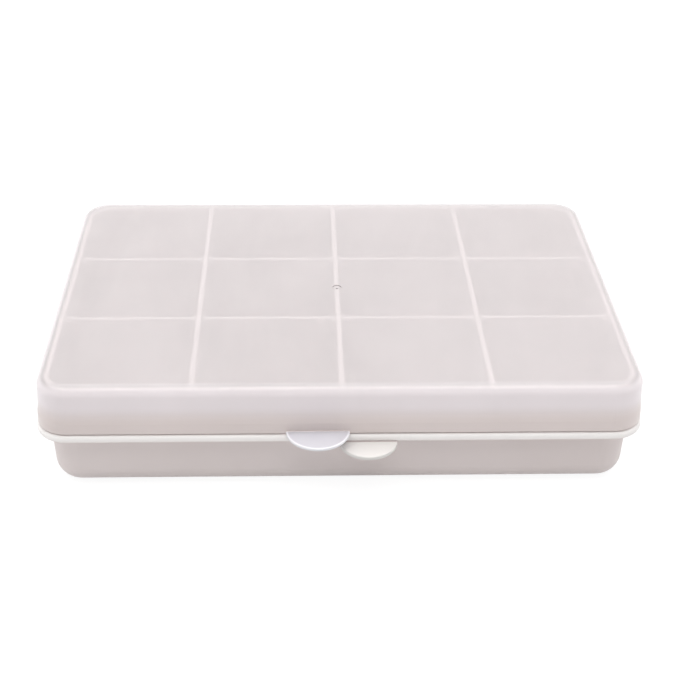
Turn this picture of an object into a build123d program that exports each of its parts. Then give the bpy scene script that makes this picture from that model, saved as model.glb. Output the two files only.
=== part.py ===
from build123d import *
import os
from math import cos, radians, tan

# Shallow snack box in millimetres: a tray, a hinged lid and eight short dividers that lift out.
# The origin is the middle of the tray's underside, +Z is up and -Y is the front with the thumb tabs.

# Lid, outside
lid_width = 240.0
lid_depth = 166.0
lid_corner_radius = 12.8
lid_top_z = 49.5
lid_foot_z = 28.9
lid_draft = 2.5
lid_top_round = 4.3
lid_wall = 1.6
lid_inner_round = 2.0
lid_edge_round = 0.4

# Thicker band round the foot of the lid's skirt, which fades into the skirt above it
band_height = 8.0
band_taper = 3.4
band_proud = 0.35

# Round mark left by the moulding gate on the lid's top
gate_dish_radius = 2.0
gate_dish_depth = 0.35
gate_nub_radius = 0.6
gate_nub_height = 0.25
gate_nub_root = 0.3
gate_y = -3.4

# Tray, which tapers below the flange and stands nearly upright above it
tray_inset = 4.0
tray_draft = 2.3
tray_neck_draft = 0.3
tray_corner_radius = 11.8
tray_foot_round = 9.0
tray_wall = 2.0
tray_floor = 1.8
tray_top_gap = 0.6
tray_top_round = 0.7

# Flange round the tray, which the lid's skirt stands over, with a rim that is rounder above
flange_thickness = 3.6
flange_gap = 0.2
flange_proud = 0.5
flange_top_round = 2.0
flange_foot_round = 0.9

# Long walls, moulded with the tray
columns = 4
inner_column_extra = 1.6
long_wall = 2.0
long_wall_root = 2.0
long_wall_top_gap = 0.3

# Short dividers and the guide ribs that hold them
rows = 3
divider_thickness = 1.8
divider_end_gap = 0.45
divider_floor_gap = 0.2
divider_top_gap = 0.8
divider_top_round = 0.5
guide_clearance = 0.25
guide_rib = 1.2
guide_grip = 1.3
guide_top_drop = 0.5

# Thumb tabs at the front
lid_tab_radius = 12.6
lid_tab_x = -9.4
lid_tab_reach = 12.0
lid_tab_thickness = 1.3
tray_tab_radius = 11.6
tray_tab_x = 10.4
tray_tab_reach = 10.7
tray_tab_thickness = 1.6
tab_edge_round = 0.5

# Hinge at the back: pins on the lid's arms in open ears on the tray
hinge_x = 60.0
hinge_back = 5.0
hinge_drop = 2.4
hinge_barrel_radius = 3.0
hinge_pin_radius = 1.6
hinge_pin_clearance = 0.05
hinge_pin_end_gap = 0.3
hinge_arm_width = 9.0
hinge_arm_lift = 0.6
hinge_arm_root = 4.6
hinge_ear_width = 3.0
hinge_side_gap = 0.4
hinge_mouth = 2.7

# Snap catch behind the front tabs
catch_length = 70.0
catch_bead_proud = 0.6
catch_bead_height = 1.4
catch_bead_bevel_share = 0.33
catch_ridge_height = 2.0
catch_blunt_share = 0.2
catch_bite = 0.25
catch_gap = 0.4
catch_foot_gap = 0.5

# Levels and half sizes worked out from the values above
lid_slope = tan(radians(lid_draft))
tray_slope = tan(radians(tray_draft))
tray_neck_slope = tan(radians(tray_neck_draft))
lid_under_z = lid_top_z - lid_wall
tray_top_z = lid_under_z - tray_top_gap
flange_top_z = lid_foot_z - flange_gap
flange_foot_z = flange_top_z - flange_thickness
long_wall_top_z = lid_under_z - long_wall_top_gap
divider_foot_z = tray_floor + divider_floor_gap
divider_top_z = lid_under_z - divider_top_gap
tray_half_width = lid_width / 2 - tray_inset
tray_half_depth = lid_depth / 2 - tray_inset
foot_inner_round = tray_foot_round - tray_floor
hinge_y = lid_depth / 2 + hinge_back
hinge_z = lid_foot_z - hinge_drop

# How far past a wall a shape is carried so that a cut or a joint is clean
overrun = 2.0


def tray_outset(z):
    """How far the tray's outer wall stands out at height z, counted from its place at the flange."""
    slope = tray_slope if z < flange_top_z else tray_neck_slope
    return (z - flange_top_z) * slope


def lid_outset(z):
    """How far the lid's outer wall stands out at height z, counted from its place at the foot."""
    return -(z - lid_foot_z) * lid_slope


def ring_section(half_width, half_depth, radius, z):
    """A rounded rectangle at height z."""
    return Pos(0, 0, z) * RectangleRounded(2 * half_width, 2 * half_depth, radius)


def tray_block(inset, z_low, z_high, foot_round):
    """The tray's outer form drawn in by inset, from z_low to z_high, with its foot edge rounded."""
    sections = []
    for z in (z_low, flange_top_z, z_high):
        grow = tray_outset(z) - inset
        sections.append(ring_section(tray_half_width + grow, tray_half_depth + grow,
                                     tray_corner_radius + grow, z))
    block = loft(sections, ruled=True)
    return fillet(block.faces().sort_by(Axis.Z)[0].edges(), foot_round)


def lid_block(levels, top_round):
    """The lid's form through pairs of a height and an inset, lowest first, with its top rounded."""
    sections = []
    for z, inset in levels:
        grow = lid_outset(z) - inset
        sections.append(ring_section(lid_width / 2 + grow, lid_depth / 2 + grow,
                                     lid_corner_radius + grow, z))
    block = loft(sections, ruled=True)
    return fillet(block.faces().sort_by(Axis.Z)[-1].edges(), top_round)


def plate_from_front(radius, x, reach, y_root, z_low, thickness):
    """A flat thumb tab with a half-round end that reaches out to the front of the lid's face."""
    y_centre = -(lid_depth / 2 + reach) + radius
    outline = Pos(x, y_centre) * Circle(radius)
    outline += Pos(x, (y_centre + y_root) / 2) * Rectangle(2 * radius, y_root - y_centre)
    outline -= Pos(x, y_root + radius) * Rectangle(4 * radius, 2 * radius)
    tab = extrude(Pos(0, 0, z_low) * outline, thickness)
    flat_edges = tab.faces().sort_by(Axis.Z)[0].edges() + tab.faces().sort_by(Axis.Z)[-1].edges()
    front_edges = flat_edges.filter_by_position(Axis.Y, -lid_depth, y_root - overrun / 2)
    return fillet(front_edges, tab_edge_round)


def side_profile(points, x_low, x_high):
    """A shape drawn in Y and Z and carried along X."""
    face = make_face(Polyline([(x_low, y, z) for y, z in points], close=True))
    return extrude(face, x_high - x_low, dir=(1, 0, 0))


def rod(radius, x_low, x_high):
    """A round bar on the hinge axis."""
    bar = Cylinder(radius, x_high - x_low)
    return Pos((x_low + x_high) / 2, hinge_y, hinge_z) * Rot(0, 90, 0) * bar


def knuckle(x_low, x_high, y_root, z_low, z_high):
    """A round barrel on the hinge axis with a web that runs from it to a wall in front."""
    barrel = Pos(hinge_y, hinge_z) * Circle(hinge_barrel_radius)
    root = Line((y_root, z_low), (y_root, z_high))
    outline = make_hull(barrel.edges() + root.edges())
    side = Plane(origin=(x_low, 0, 0), x_dir=(0, 1, 0), z_dir=(1, 0, 0))
    return extrude(side * outline, x_high - x_low)


# Long walls, guide ribs and dividers

inner_width = 2 * (tray_half_width - tray_wall + tray_outset(tray_top_z))
inner_depth = 2 * (tray_half_depth - tray_wall + tray_outset(tray_top_z))
outer_column = (inner_width - (columns - 1) * long_wall - (columns - 2) * inner_column_extra) / columns
long_wall_pitch = outer_column + inner_column_extra + long_wall
row_pitch = (inner_depth + divider_thickness) / rows
long_wall_places = [(i - columns / 2) * long_wall_pitch for i in range(1, columns)]
row_places = [(j - rows / 2) * row_pitch for j in range(1, rows)]

# The outer columns are the narrow ones, measured just above the rounded foot of the side wall
side_wall_face = tray_half_width - tray_wall + tray_outset(tray_floor + foot_inner_round)
narrow_column = side_wall_face - long_wall_places[-1] - long_wall / 2
wide_column = long_wall_pitch - long_wall
divider_height = divider_top_z - divider_foot_z
divider_foot_round = foot_inner_round + divider_floor_gap


def column_middle(i):
    """The middle of column i along X, counted from the left."""
    edges = [-side_wall_face - long_wall / 2] + long_wall_places + [side_wall_face + long_wall / 2]
    return (edges[i] + edges[i + 1]) / 2


def divider_length(i):
    """The length of the dividers in column i, which fill it from wall to wall."""
    column = narrow_column if i in (0, columns - 1) else wide_column
    return column - 2 * divider_end_gap


def long_wall_solid(x):
    """One long wall with rounded roots, longer than the tray is deep."""
    half = long_wall / 2
    foot = half + long_wall_root
    root_z = tray_floor + long_wall_root
    bend = long_wall_root * (1 - cos(radians(45)))
    outline = [
        Line((-foot, 0), (-foot, tray_floor)),
        ThreePointArc((-foot, tray_floor), (-half - bend, tray_floor + bend), (-half, root_z)),
        Line((-half, root_z), (-half, long_wall_top_z)),
        Line((-half, long_wall_top_z), (half, long_wall_top_z)),
        Line((half, long_wall_top_z), (half, root_z)),
        ThreePointArc((half, root_z), (half + bend, tray_floor + bend), (foot, tray_floor)),
        Line((foot, tray_floor), (foot, 0)),
        Line((foot, 0), (-foot, 0)),
    ]
    face = make_face(outline)
    upright = Plane(origin=(x, lid_depth / 2, 0), x_dir=(1, 0, 0), z_dir=(0, -1, 0))
    return extrude(upright * face, lid_depth)


def guide_ribs():
    """Pairs of ribs that hold each end of each divider."""
    slot = divider_thickness / 2 + guide_clearance
    z_high = divider_top_z - guide_top_drop
    walls = [-lid_width / 2] + long_wall_places + [lid_width / 2]
    ribs = []
    for i in range(columns):
        x_mid = column_middle(i)
        left_tip = x_mid - divider_length(i) / 2 + guide_grip
        right_tip = x_mid + divider_length(i) / 2 - guide_grip
        for y in row_places:
            for side in (-1, 1):
                y_rib = y + side * (slot + guide_rib / 2)
                for x_low, x_high in ((walls[i], left_tip), (right_tip, walls[i + 1])):
                    rib = Box(x_high - x_low, guide_rib, z_high)
                    ribs.append(Pos((x_low + x_high) / 2, y_rib, z_high / 2) * rib)
    return ribs


def divider(x, y, length):
    """One short divider: a plate with two round lower corners and softened top edges."""
    plate = Rectangle(length, divider_height)
    plate = fillet(plate.vertices().group_by(Axis.Y)[0], divider_foot_round)
    upright = Plane(origin=(x, y + divider_thickness / 2, divider_foot_z + divider_height / 2),
                    x_dir=(1, 0, 0), z_dir=(0, -1, 0))
    solid = extrude(upright * plate, divider_thickness)
    top_edges = solid.faces().sort_by(Axis.Z)[-1].edges().filter_by(Axis.X)
    return fillet(top_edges, divider_top_round)


# Tray


def flange():
    """The bead-edged flange that runs round the tray under the lid's foot."""
    section = ring_section(lid_width / 2 + flange_proud, lid_depth / 2 + flange_proud,
                           lid_corner_radius + flange_proud, flange_foot_z)
    plate = extrude(section, flange_thickness)
    plate = fillet(plate.faces().sort_by(Axis.Z)[-1].edges(), flange_top_round)
    return fillet(plate.faces().sort_by(Axis.Z)[0].edges(), flange_foot_round)


def tray_tab():
    """The tray's thumb tab, which hangs under the flange."""
    y_root = -tray_half_depth - tray_outset(flange_foot_z) + tray_wall / 2
    z_low = flange_foot_z - tray_tab_thickness
    tab = plate_from_front(tray_tab_radius, tray_tab_x, tray_tab_reach, y_root, z_low,
                           tray_tab_thickness)
    return tab


def hinge_ears():
    """Two pairs of open ears on the back of the flange, each with a round seat for a pin."""
    inner = hinge_arm_width / 2 + hinge_side_gap
    outer = inner + hinge_ear_width
    y_root = lid_depth / 2 - flange_top_round
    seat_radius = hinge_pin_radius + hinge_pin_clearance
    ears = []
    for x in (-hinge_x, hinge_x):
        for x_low, x_high in ((x - outer, x - inner), (x + inner, x + outer)):
            ear = knuckle(x_low, x_high, y_root, flange_foot_z, flange_top_z - flange_top_round)
            ear -= rod(seat_radius, x_low - overrun, x_high + overrun)
            mouth_length = hinge_barrel_radius + overrun
            mouth = Box(hinge_ear_width + overrun, mouth_length, hinge_mouth)
            ear -= Pos((x_low + x_high) / 2, hinge_y + mouth_length / 2, hinge_z) * mouth
            ears.append(ear)
    return ears


def catch_bead_tip():
    """The Y of the tip of the lid's catch bead."""
    skirt_face = lid_depth / 2 + lid_outset(lid_foot_z + catch_foot_gap) - band_proud - lid_wall
    return -skirt_face + catch_bead_proud


def catch_ridge():
    """The ridge on the front of the tray that the lid's bead snaps under."""
    z_low = lid_foot_z + catch_foot_gap + catch_bead_height + catch_gap
    z_high = z_low + catch_ridge_height
    y_face = -tray_half_depth - tray_outset(z_low)
    y_deep = y_face + tray_wall / 2
    y_tip = catch_bead_tip() - catch_bite
    z_blunt = z_low + catch_ridge_height * catch_blunt_share
    z_ramp = z_blunt + catch_ridge_height * catch_blunt_share
    points = [(y_deep, z_low), (y_face, z_low), (y_tip, z_blunt), (y_tip, z_ramp), (y_face, z_high),
              (y_deep, z_high)]
    return side_profile(points, -catch_length / 2, catch_length / 2)


def make_tray():
    body = tray_block(0, 0, tray_top_z, tray_foot_round)
    hollow = tray_block(tray_wall, tray_floor, tray_top_z + overrun, foot_inner_round)
    middle = tray_block(tray_wall / 2, tray_floor / 2, long_wall_top_z + overrun,
                        tray_foot_round - tray_floor / 2)
    body += flange()
    body += tray_tab()
    body -= hollow
    body = fillet(body.faces().sort_by(Axis.Z)[-1].edges(), tray_top_round)
    for x in long_wall_places:
        body += long_wall_solid(x) & middle
    for rib in guide_ribs():
        body += rib & middle
    for ear in hinge_ears():
        body += ear
    body += catch_ridge()
    return body


# Lid


def lid_shell():
    """The cap with its deep skirt and the thicker band round its foot."""
    band_top_z = lid_foot_z + band_height
    outer_levels = [(lid_foot_z, 0), (band_top_z - band_taper, 0), (band_top_z, band_proud),
                    (lid_top_z, band_proud)]
    shell = lid_block(outer_levels, lid_top_round)
    shell = fillet(shell.faces().sort_by(Axis.Z)[0].edges(), lid_edge_round)
    inner_inset = band_proud + lid_wall
    inner_levels = [(lid_foot_z - overrun, inner_inset), (lid_under_z, inner_inset)]
    return shell - lid_block(inner_levels, lid_inner_round)


def lid_tab():
    """The lid's thumb tab, level with the foot of the skirt."""
    y_root = -lid_depth / 2 + lid_wall / 2
    return plate_from_front(lid_tab_radius, lid_tab_x, lid_tab_reach, y_root, lid_foot_z,
                            lid_tab_thickness)


def hinge_arms():
    """Two arms on the back of the skirt, each with a round pin to each side."""
    half = hinge_arm_width / 2
    pin_reach = half + hinge_side_gap + hinge_ear_width - hinge_pin_end_gap
    y_root = lid_depth / 2 - lid_wall / 2
    z_low = lid_foot_z + hinge_arm_lift
    arms = []
    for x in (-hinge_x, hinge_x):
        arm = knuckle(x - half, x + half, y_root, z_low, z_low + hinge_arm_root)
        arm += rod(hinge_pin_radius, x - pin_reach, x + pin_reach)
        arms.append(arm)
    return arms


def catch_bead():
    """The bead inside the front of the skirt that holds the lid shut under the tray's ridge."""
    z_low = lid_foot_z + catch_foot_gap
    z_high = z_low + catch_bead_height
    y_tip = catch_bead_tip()
    y_face = y_tip - catch_bead_proud
    y_deep = y_face - lid_wall / 2
    bevel = catch_bead_height * catch_bead_bevel_share
    points = [(y_deep, z_low), (y_face, z_low), (y_tip, z_low + bevel), (y_tip, z_high - bevel),
              (y_face, z_high), (y_deep, z_high)]
    return side_profile(points, -catch_length / 2, catch_length / 2)


def gate_mark(body):
    """A shallow dish with a small nub in it, on the lid's top."""
    dish = Pos(0, gate_y, lid_top_z) * Cylinder(gate_dish_radius, 2 * gate_dish_depth)
    nub_z = lid_top_z - gate_dish_depth + (gate_nub_height - gate_nub_root) / 2
    nub = Pos(0, gate_y, nub_z) * Cylinder(gate_nub_radius, gate_nub_height + gate_nub_root)
    return body - dish + nub


def make_lid():
    body = lid_shell()
    body += lid_tab()
    for arm in hinge_arms():
        body += arm
    body += catch_bead()
    return gate_mark(body)


pieces = {"tray": make_tray(), "lid": make_lid()}
for row, y in zip(("front", "back"), row_places):
    for column in range(columns):
        pieces[f"divider_{row}_{column + 1}"] = divider(column_middle(column), y,
                                                        divider_length(column))

os.makedirs("parts", exist_ok=True)
for name, solid in pieces.items():
    export_step(solid, f"parts/{name}.step")
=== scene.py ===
import bpy
from mathutils import Matrix, Vector

# Looks of the snack box: a warm grey-beige tray and dividers seen through a frosted lid.

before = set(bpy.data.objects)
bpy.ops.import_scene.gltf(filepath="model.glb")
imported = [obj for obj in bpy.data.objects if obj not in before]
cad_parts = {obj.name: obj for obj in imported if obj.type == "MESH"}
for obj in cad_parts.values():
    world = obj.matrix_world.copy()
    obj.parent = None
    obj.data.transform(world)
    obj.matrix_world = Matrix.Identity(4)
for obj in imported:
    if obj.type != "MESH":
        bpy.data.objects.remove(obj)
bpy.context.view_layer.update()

MILLIMETRE = 0.001

# Camera, in millimetres and in the CAD frame
CAMERA_PLACE = (-17.06, -510.41, 335.11)
CAMERA_FORWARD = (0.031397, 0.850965, -0.524283)
CAMERA_UP = (0.004888, 0.524405, 0.851453)
SENSOR_WIDTH = 36.0
FOCAL_PIXELS = 1342.0
FRAME_PIXELS = 680.0

# Colours, as linear light
TRAY_PALE = (0.745, 0.674, 0.662, 1.0)
TRAY_DEEP = (0.710, 0.638, 0.625, 1.0)
TRAY_SCUFF = (0.790, 0.745, 0.728, 1.0)
# Painted highlight: the paler colour of the tray's flange bead, where light from above catches its round
TRAY_RIM_HIGHLIGHT = (0.870, 0.840, 0.825, 1.0)
# Painted light: a greyer, less warm tone for the tray's thumb tab, standing in for the washed-out look
# of the strong top light on it
TRAY_TAB_LIT_TONE = (0.685, 0.662, 0.642, 1.0)
LID_CLEAR = (0.985, 0.970, 0.970, 1.0)
LID_MILKY = (0.970, 0.950, 0.952, 1.0)
LID_HAZE = (0.900, 0.842, 0.850, 1.0)
LID_SKIRT = (0.910, 0.842, 0.862, 1.0)
# Painted shade: a darker, warmer colour low on the lid's skirt, for the shade there and the tray's warm
# wall behind it
LID_FOOT_SHADE = (0.780, 0.692, 0.672, 1.0)
LID_TAB = (0.805, 0.795, 0.845, 1.0)
# Painted highlight: a paler colour on the outer edge of the lid's thumb tab
LID_TAB_RIM_HIGHLIGHT = (0.860, 0.850, 0.885, 1.0)
FLOOR_BOUNCE = (0.72, 0.72, 0.72, 1.0)
FLOOR_SEEN = (0.17, 0.17, 0.17, 1.0)
WHITE = (1.0, 1.0, 1.0, 1.0)

# Share of milky haze in the lid's outer skin
TOP_HAZE = 0.42
SKIRT_HAZE = 0.82
TAB_HAZE = 0.50
MILK_HAZE = 0.05
SCRATCH_HAZE = 0.10

# Light
FLOOR_GLOW = 0.90
WORLD_LIGHT = 0.25
SIDE_LIGHT = 1.1
ZENITH_LIGHT = 0.65
FLANK_EDGE = (0.60, 0.95)
ZENITH_EDGE = (0.60, 0.85)
LAMP_PLACE = (-0.05, 0.02, 1.30)
LAMP_TARGET = (0.0, 0.0, 0.03)
LAMP_SIZE = 1.8
LAMP_WATTS = 21.5
FLOOR_SIZE = 6.0
FLOOR_Z = -0.0002

# Lid and thumb tab, in metres
LID_HALF_WIDTH = 0.120
LID_HALF_DEPTH = 0.083
LID_CORNER = 0.0128
LID_FOOT_Z = 0.0289
LID_TOP_Z = 0.0495
LID_TOP_ROUND = 0.0043
LID_SLOPE = 0.04366
BAND_PROUD = 0.00035
LID_TAB_PLACE = (-0.0094, -0.0824)
LID_TAB_RADIUS = 0.0126

# Zones of colour, wear, painted highlight and painted shade, each from where it starts to where it is
# full, in metres
FRONT_ZONE = (-0.080, -0.084)
FLANGE_HIGHLIGHT_ACROSS = (-0.0010, 0.0002)
FLANGE_HIGHLIGHT_UPWARD = (0.0252, 0.0262)
TRAY_TAB_ZONE = (0.0005, 0.0009)
TRAY_FOOT_ZONE = (0.0012, 0.0)
LID_SKIN_ZONE = (-0.0009, -0.0003)
LID_SIDE_ZONE = (-0.0024, 0.0)
LID_FOOT_SHADE_ZONE = (0.0415, 0.0340)
LID_TAB_ZONE = (0.0001, 0.0007)
LID_TAB_RIM_HIGHLIGHT_ZONE = (-0.0011, -0.0002)
LID_TOP_ZONE = (0.0488, 0.0494)
TONE_RANGE = (0.3, 0.7)
TRAY_SCRATCH_RANGE = (0.60, 0.74)
LID_SCRATCH_RANGE = (0.74, 0.86)

# Marks in the plastic, as repeats per metre
TRAY_CLOUDS = 14.0
TRAY_STREAKS = (9.0, 55.0, 9.0)
TRAY_SCRATCHES = (2600.0, 90.0, 400.0)
TRAY_CROSSING = (70.0, 2400.0, 400.0)
TRAY_GRAIN = 2300.0
TRAY_RIPPLE = 70.0
LID_CLOUDS = 11.0
LID_FLOW = (30.0, 8.0, 12.0)
LID_SCRATCHES = (2200.0, 60.0, 300.0)
LID_FROST = 2600.0
LID_RIPPLE = 45.0

# Bumps, as strength and depth in metres
TRAY_RIPPLE_BUMP = (0.25, 0.00025)
TRAY_GRAIN_BUMP = (0.35, 0.00003)
LID_RIPPLE_BUMP = (0.10, 0.0001)
LID_FROST_BUMP = (0.15, 0.000006)

# Gloss
TRAY_ROUGHNESS = 0.40
LID_ROUGHNESS = 0.09
MILKY_ROUGHNESS = 0.20
PLASTIC_IOR = 1.49
DIVIDER_SHADES = (("a", 0.03), ("b", -0.03))


class Channel:
    """One output of a node. Arithmetic on it adds Math nodes to the same finish."""

    def __init__(self, finish, socket):
        self.finish = finish
        self.socket = socket

    def maths(self, operation, *values):
        return self.finish.add("ShaderNodeMath", {"operation": operation}, dict(enumerate(values)))

    def __add__(self, other):
        return self.maths("ADD", self, other)

    def __radd__(self, other):
        return self.maths("ADD", other, self)

    def __sub__(self, other):
        return self.maths("SUBTRACT", self, other)

    def __rsub__(self, other):
        return self.maths("SUBTRACT", other, self)

    def __mul__(self, other):
        return self.maths("MULTIPLY", self, other)

    def __rmul__(self, other):
        return self.maths("MULTIPLY", other, self)


class Finish:
    """The nodes of one material or of the world."""

    def __init__(self, owner):
        owner.use_nodes = True
        self.owner = owner
        self.tree = owner.node_tree
        self.tree.nodes.clear()

    def add(self, kind, settings=None, inputs=None, output=0):
        """Adds a node, gives it its settings, then its values and links, and returns one output."""
        node = self.tree.nodes.new(kind)
        for name, value in (settings or {}).items():
            setattr(node, name, value)
        for key, value in (inputs or {}).items():
            socket = self.find_input(node, key)
            if isinstance(value, Channel):
                self.tree.links.new(value.socket, socket)
            else:
                socket.default_value = value
        return Channel(self, node.outputs[output])

    @staticmethod
    def find_input(node, key):
        """An input by its number, its identifier or its name."""
        if isinstance(key, int):
            return node.inputs[key]
        for socket in node.inputs:
            if socket.identifier == key:
                return socket
        return node.inputs[key]

    def noise(self, place, scale, detail, roughness=0.5, distortion=0.0):
        return self.add("ShaderNodeTexNoise", None, {
            "Vector": place, "Scale": scale, "Detail": detail, "Roughness": roughness,
            "Distortion": distortion})

    def marks(self, place, scales, detail, roughness=0.5, distortion=0.0):
        """Noise with its own scale along X, Y and Z, for marks that run one way."""
        stretched = self.add("ShaderNodeMapping", None, {"Vector": place, "Scale": scales})
        return self.noise(stretched, 1.0, detail, roughness, distortion)

    def ramp(self, value, start, full):
        """A value from start to full becomes 0 to 1, smoothly and held at both ends."""
        return self.add("ShaderNodeMapRange", {"interpolation_type": "SMOOTHSTEP"}, {
            "Value": value, "From Min": start, "From Max": full})

    def blend(self, first, second, share):
        """A colour between two colours."""
        return self.add("ShaderNodeMix", {"data_type": "RGBA"}, {
            "Factor_Float": share, "A_Color": first, "B_Color": second}, output=2)

    def bump(self, height, strength, distance, normal=None):
        inputs = {"Height": height, "Strength": strength, "Distance": distance}
        if normal is not None:
            inputs["Normal"] = normal
        return self.add("ShaderNodeBump", None, inputs)

    def close(self, shader, kind="ShaderNodeOutputMaterial"):
        end = self.tree.nodes.new(kind)
        self.tree.links.new(shader.socket, end.inputs["Surface"])
        return self.owner


def new_finish(name):
    return Finish(bpy.data.materials.new(name))


def object_place(finish):
    return finish.add("ShaderNodeTexCoord", None, None, output=3)


def heights(finish, place):
    """The X, Y and Z of a point on the box, in metres."""
    split = finish.add("ShaderNodeSeparateXYZ", None, {"Vector": place}).socket.node
    return [Channel(finish, output) for output in split.outputs]


def beyond_corner(first, second, radius):
    """How far a point lies past two faces that meet in a round corner, given how far past each."""
    first_in = first + radius
    second_in = second + radius
    over_first = first_in.maths("MAXIMUM", first_in, 0.0)
    over_second = second_in.maths("MAXIMUM", second_in, 0.0)
    squares = over_first * over_first + over_second * over_second
    inside = first_in.maths("MAXIMUM", first_in, second_in)
    return squares.maths("SQRT", squares) + inside.maths("MINIMUM", inside, 0.0) - radius


def beyond_outline(x, y):
    """How far a point lies outside the lid's rounded outline, seen from above."""
    beyond_x = x.maths("ABSOLUTE", x) - LID_HALF_WIDTH
    beyond_y = y.maths("ABSOLUTE", y) - LID_HALF_DEPTH
    return beyond_corner(beyond_x, beyond_y, LID_CORNER)


def tab_rim_highlight(finish, x, y):
    """The outer millimetre of the lid's round thumb tab, where a painted highlight goes."""
    across = x - LID_TAB_PLACE[0]
    along = y - LID_TAB_PLACE[1]
    squares = across * across + along * along
    return finish.ramp(squares.maths("SQRT", squares) - LID_TAB_RADIUS, *LID_TAB_RIM_HIGHLIGHT_ZONE)


def tray_plastic(name, shade):
    """Opaque satin polypropylene with fine mould grain, faint flow streaks and a scratched underside,
    plus a painted highlight on the flange bead and a greyer painted tone on the thumb tab for its strong
    top light.
    """
    finish = new_finish(name)
    place = object_place(finish)
    x, y, z = heights(finish, place)

    beyond = beyond_outline(x, y)
    # Painted highlight: this mask picks out the flange bead for its paler colour
    rim_highlight = finish.ramp(beyond, *FLANGE_HIGHLIGHT_ACROSS) * finish.ramp(z, *FLANGE_HIGHLIGHT_UPWARD)
    tab = finish.ramp(beyond, *TRAY_TAB_ZONE) * finish.ramp(y, *FRONT_ZONE)

    cloud = finish.noise(place, TRAY_CLOUDS, 3.0)
    streaks = finish.marks(place, TRAY_STREAKS, 3.0, 0.6, 0.4)
    tone = finish.ramp(cloud * 0.65 + streaks * 0.35 + shade, *TONE_RANGE)
    # Painted highlight: the flange bead's paler colour is blended in here
    plain = finish.blend(finish.blend(TRAY_PALE, TRAY_DEEP, tone), TRAY_RIM_HIGHLIGHT, rim_highlight)
    # Painted light: the thumb tab takes its greyer tone for the top light on it
    plain = finish.blend(plain, TRAY_TAB_LIT_TONE, tab)

    scratches = finish.marks(place, TRAY_SCRATCHES, 2.0)
    crossing = finish.marks(place, TRAY_CROSSING, 2.0)
    scratched = scratches.maths("MAXIMUM", scratches, crossing)
    rubbed = finish.ramp(scratched, *TRAY_SCRATCH_RANGE) * finish.ramp(z, *TRAY_FOOT_ZONE)
    colour = finish.blend(plain, TRAY_SCUFF, rubbed * 0.7)

    grain = finish.noise(place, TRAY_GRAIN, 2.0, 0.6)
    ripple = finish.noise(place, TRAY_RIPPLE, 1.0)
    roughness = TRAY_ROUGHNESS + cloud * 0.10 + grain * 0.06 + rubbed * 0.15
    normal = finish.bump(ripple, *TRAY_RIPPLE_BUMP)
    normal = finish.bump(grain - rubbed * 0.4, *TRAY_GRAIN_BUMP, normal)

    shader = finish.add("ShaderNodeBsdfPrincipled", None, {
        "Base Color": colour, "Roughness": roughness, "Normal": normal, "IOR": PLASTIC_IOR})
    return finish.close(shader)


def frosted_plastic(name):
    """See-through polypropylene with its haze in the outer skin: least on top, most on the skirt, with
    painted shade low on the skirt and a painted highlight on the thumb tab's outer edge.
    """
    finish = new_finish(name)
    place = object_place(finish)
    x, y, z = heights(finish, place)

    beyond = beyond_outline(x, y)
    beyond_skirt = beyond + (z - LID_FOOT_Z) * LID_SLOPE + BAND_PROUD
    beyond_shell = beyond_corner(beyond_skirt, z - LID_TOP_Z, LID_TOP_ROUND)
    skin = finish.ramp(beyond_shell, *LID_SKIN_ZONE)
    side = finish.ramp(beyond_skirt, *LID_SIDE_ZONE)
    # Painted shade: the skirt is darkened and warmed towards its lower edge
    foot_shade = finish.ramp(z, *LID_FOOT_SHADE_ZONE)
    tab = finish.ramp(beyond, *LID_TAB_ZONE) * finish.ramp(y, *FRONT_ZONE)
    # Painted highlight: the thumb tab's outer edge is made paler and milkier
    rim_highlight = tab * tab_rim_highlight(finish, x, y)

    cloud = finish.noise(place, LID_CLOUDS, 3.0)
    flow = finish.marks(place, LID_FLOW, 3.0, 0.6, 0.5)
    milk = finish.ramp(cloud * 0.6 + flow * 0.4, *TONE_RANGE)
    scratches = finish.marks(place, LID_SCRATCHES, 2.0)
    rubbed = finish.ramp(scratches, *LID_SCRATCH_RANGE) * finish.ramp(z, *LID_TOP_ZONE)

    frost = finish.noise(place, LID_FROST, 2.0, 0.6)
    ripple = finish.noise(place, LID_RIPPLE, 1.0)
    roughness = LID_ROUGHNESS + milk * 0.03 + frost * 0.03 + rubbed * 0.08
    normal = finish.bump(ripple, *LID_RIPPLE_BUMP)
    normal = finish.bump(frost - rubbed * 0.2, *LID_FROST_BUMP, normal)

    clear_colour = finish.blend(finish.blend(LID_CLEAR, LID_MILKY, milk), LID_TAB, tab)
    clear = finish.add("ShaderNodeBsdfPrincipled", None, {
        "Base Color": clear_colour, "Roughness": roughness, "Normal": normal,
        "IOR": PLASTIC_IOR, "Transmission Weight": 1.0})
    skirt_colour_and_shade = finish.blend(LID_SKIRT, LID_FOOT_SHADE, foot_shade)
    tab_colour_and_highlight = finish.blend(LID_TAB, LID_TAB_RIM_HIGHLIGHT, rim_highlight)
    haze_colour = finish.blend(finish.blend(LID_HAZE, skirt_colour_and_shade, side), tab_colour_and_highlight, tab)
    milky = finish.add("ShaderNodeBsdfPrincipled", None, {
        "Base Color": haze_colour, "Roughness": roughness + MILKY_ROUGHNESS, "Normal": normal,
        "IOR": PLASTIC_IOR})
    # The term for the tab's outer edge raises its haze to the skirt's share, part of its painted
    # highlight
    haze = skin * (TOP_HAZE + side * (SKIRT_HAZE - TOP_HAZE) + tab * (TAB_HAZE - SKIRT_HAZE)
                   + rim_highlight * (SKIRT_HAZE - TAB_HAZE) + milk * MILK_HAZE + rubbed * SCRATCH_HAZE)
    shader = finish.add("ShaderNodeMixShader", None, {0: haze, 1: clear, 2: milky})
    return finish.close(shader)


def dress(node_name, material):
    """Gives a CAD node its finish."""
    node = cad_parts[node_name]
    node.data.materials.clear()
    node.data.materials.append(material)


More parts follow.
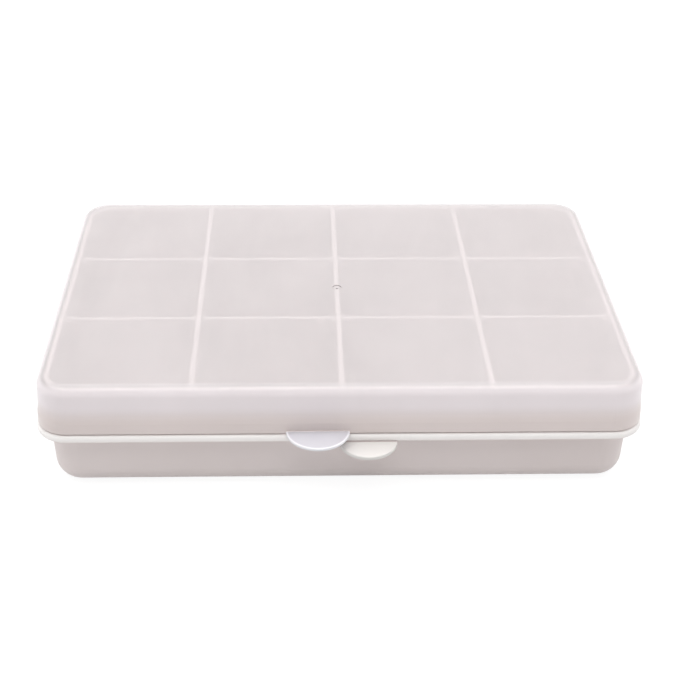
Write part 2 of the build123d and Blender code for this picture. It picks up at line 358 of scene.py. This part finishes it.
def seen_directly(finish):
    """1 for rays that show the background itself: from the camera, in gloss or through the lid."""
    def ray(output):
        return finish.add("ShaderNodeLightPath", None, None, output=output)
    camera = ray("Is Camera Ray")
    glossy = ray("Is Glossy Ray")
    through = ray("Is Transmission Ray")
    return camera.maths("MAXIMUM", camera, glossy.maths("MAXIMUM", glossy, through))


def make_floor():
    """A pale floor that shows white from the camera and keeps the box's shadow."""
    bpy.ops.object.select_all(action="DESELECT")
    bpy.ops.mesh.primitive_plane_add(size=FLOOR_SIZE, location=(0.0, 0.0, FLOOR_Z))
    floor = bpy.context.object
    floor.name = "floor"
    finish = new_finish("pale_floor")
    bounce = finish.add("ShaderNodeBsdfDiffuse", None, {"Color": FLOOR_BOUNCE})
    shaded = finish.add("ShaderNodeBsdfDiffuse", None, {"Color": FLOOR_SEEN})
    glow = finish.add("ShaderNodeEmission", None, {"Color": WHITE, "Strength": FLOOR_GLOW})
    plain = finish.add("ShaderNodeAddShader", None, {0: shaded, 1: glow})
    shader = finish.add("ShaderNodeMixShader", None, {
        0: seen_directly(finish), 1: bounce, 2: plain})
    floor.data.materials.append(finish.close(shader))


def make_world():
    """A white surround, brighter above and at both sides, and plain white where it is seen."""
    world = bpy.data.worlds.new("white_surround")
    bpy.context.scene.world = world
    finish = Finish(world)
    sideways, _, upward = heights(finish, object_place(finish))
    flank = finish.ramp(sideways.maths("ABSOLUTE", sideways), *FLANK_EDGE)
    zenith = finish.ramp(upward, *ZENITH_EDGE)
    light = WORLD_LIGHT + flank * SIDE_LIGHT + zenith * ZENITH_LIGHT
    seen = seen_directly(finish)
    strength = light + seen * (1.0 - light)
    background = finish.add("ShaderNodeBackground", None, {"Color": WHITE, "Strength": strength})
    finish.close(background, "ShaderNodeOutputWorld")


def make_lamp():
    """A soft square lamp overhead that faces the middle of the box."""
    lamp = bpy.data.lights.new("overhead", "AREA")
    lamp.shape = "SQUARE"
    lamp.size = LAMP_SIZE
    lamp.energy = LAMP_WATTS
    holder = bpy.data.objects.new("overhead", lamp)
    bpy.context.scene.collection.objects.link(holder)
    holder.location = LAMP_PLACE
    facing = Vector(LAMP_TARGET) - Vector(LAMP_PLACE)
    holder.rotation_euler = facing.to_track_quat("-Z", "Y").to_euler()


def make_camera():
    """The photograph's viewpoint."""
    camera = bpy.data.cameras.new("photo_view")
    camera.sensor_width = SENSOR_WIDTH
    camera.lens = FOCAL_PIXELS / FRAME_PIXELS * SENSOR_WIDTH
    camera.clip_start = 0.01
    holder = bpy.data.objects.new("photo_view", camera)
    bpy.context.scene.collection.objects.link(holder)
    back = -Vector(CAMERA_FORWARD).normalized()
    right = Vector(CAMERA_UP).cross(back).normalized()
    up = back.cross(right)
    turn = Matrix((right, up, back)).transposed().to_4x4()
    holder.matrix_world = Matrix.Translation(Vector(CAMERA_PLACE) * MILLIMETRE) @ turn
    bpy.context.scene.camera = holder


dress("tray", tray_plastic("tray_moulding", 0.0))
dress("lid", frosted_plastic("lid_moulding"))
divider_finishes = [tray_plastic(f"divider_moulding_{tone}", shade) for tone, shade in DIVIDER_SHADES]
divider_names = [name for name in sorted(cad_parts) if name.startswith("divider")]
for count, node_name in enumerate(divider_names):
    dress(node_name, divider_finishes[count % len(divider_finishes)])

make_floor()
make_world()
make_lamp()
make_camera()
bpy.context.scene.view_settings.view_transform = "Standard"
